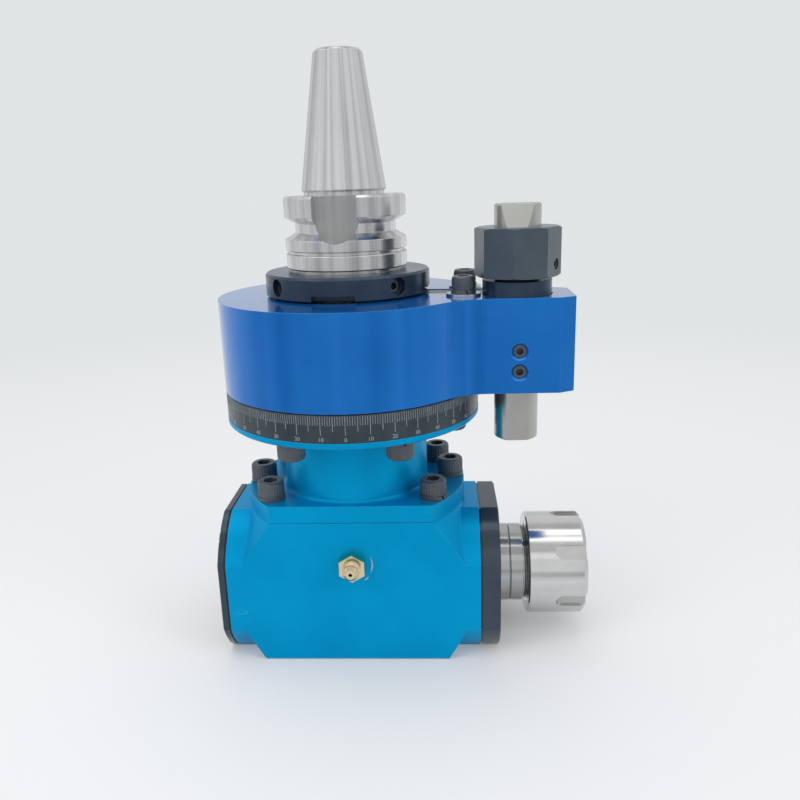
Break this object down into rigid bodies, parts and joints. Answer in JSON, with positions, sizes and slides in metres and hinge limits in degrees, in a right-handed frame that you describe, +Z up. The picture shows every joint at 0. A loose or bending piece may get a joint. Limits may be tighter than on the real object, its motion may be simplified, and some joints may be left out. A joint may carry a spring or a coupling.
{
  "type": "angle head",
  "caption": "Right-angle milling head with a taper shank, an indexable stop arm with a sprung pin, a bevel gear block and a sideways collet spindle with its nut.",
  "frame": {"origin": "on the tool axis, at the flat foot of the gear block", "axes": "+Z up the tool axis towards the taper, +X along the output spindle towards the collet nut"},
  "size_m": [0.1461, 0.1, 0.2303],
  "materials": {
    "cyan_anodised": "satin anodised cyan",
    "blue_anodised": "glossy anodised blue",
    "ground_steel": "ground",
    "black_oxide": "black oxide",
    "black_screws": "black oxide",
    "dial_grey": "dark anodised with light marks",
    "brass": "bright",
    "bearing_steel": "polished",
    "gear_steel": "hardened",
    "seal_rubber": "matt"
  },
  "bodies": {
    "gear_head": {"gear_housing": "cyan_anodised", "neck_body": "cyan_anodised", "dial_ring": "dial_grey", "clamp_nuts": "gear_steel", "arm_bolts": "black_screws", "arm_bolt_washers": "black_screws", "neck_bolts": "black_screws", "neck_washers": "black_screws", "front_cover": "black_oxide", "rear_cover": "black_oxide", "front_cover_screws": "black_screws", "rear_cover_screws": "black_screws", "grease_nipple": "brass", "spindle_seal": "seal_rubber", "shank_outer_rings": "bearing_steel", "shank_ball_cages": "brass", "spindle_outer_rings": "bearing_steel", "spindle_ball_cages": "brass", "bearing_circlip": "bearing_steel"},
    "arm": {"stop_arm": "blue_anodised", "arm_screws": "black_screws", "arm_washers": "ground_steel", "arm_lock_washers": "black_screws", "pin_guide_screws": "black_screws", "dust_seal": "seal_rubber", "pin_spring": "bearing_steel"},
    "shank": {"taper_shank": "ground_steel", "lock_ring": "black_oxide", "lock_ring_screws": "black_screws", "shank_inner_rings": "bearing_steel", "shank_lock_nut": "gear_steel", "drive_gear": "gear_steel", "drive_gear_pin": "bearing_steel"},
    "output_spindle": {"spindle": "ground_steel", "spindle_gear": "gear_steel", "spindle_gear_pin": "bearing_steel", "spindle_inner_rings": "bearing_steel", "rear_lock_nut": "gear_steel"},
    "stop": {"stop_pin": "ground_steel", "pin_nut": "black_oxide", "pin_nut_screw": "black_screws", "pin_sleeve": "black_oxide", "lock_key": "gear_steel"},
    "nut_carrier": {"extractor_ring": "ground_steel"},
    "nut": {"collet_nut": "ground_steel"}
  },
  "joints": [
    {"name": "arm_index", "type": "hinge", "parent": "gear_head", "child": "arm", "pos_m": [0, 0, 0.125], "axis": [0, 0, 1], "continuous": true},
    {"name": "shank_spin", "type": "hinge", "parent": "gear_head", "child": "shank", "pos_m": [0, 0, 0.12], "axis": [0, 0, 1], "continuous": true},
    {"name": "spindle_spin", "type": "hinge", "parent": "gear_head", "child": "output_spindle", "pos_m": [0.035, 0, 0.0272], "axis": [1, 0, 0], "continuous": true},
    {"name": "pin_press", "type": "slide", "parent": "arm", "child": "stop", "axis": [0, 0, 1], "range_m": [-0.005, 0], "stiffness_N_per_m": 2000, "springref_m": 0.005, "deforming": ["pin_spring"]},
    {"name": "nut_travel", "type": "slide", "parent": "output_spindle", "child": "nut_carrier", "axis": [1, 0, 0], "range_m": [0, 0.003]},
    {"name": "nut_turn", "type": "hinge", "parent": "nut_carrier", "child": "nut", "pos_m": [0.08, 0, 0.0272], "axis": [1, 0, 0], "range_deg": [0, 720]}
  ],
  "couplings": [
    {"joint": "spindle_spin", "follows": "shank_spin", "ratio": -1},
    {"joint": "nut_turn", "follows": "nut_travel", "rad_per_m": 4188.7}
  ]
}
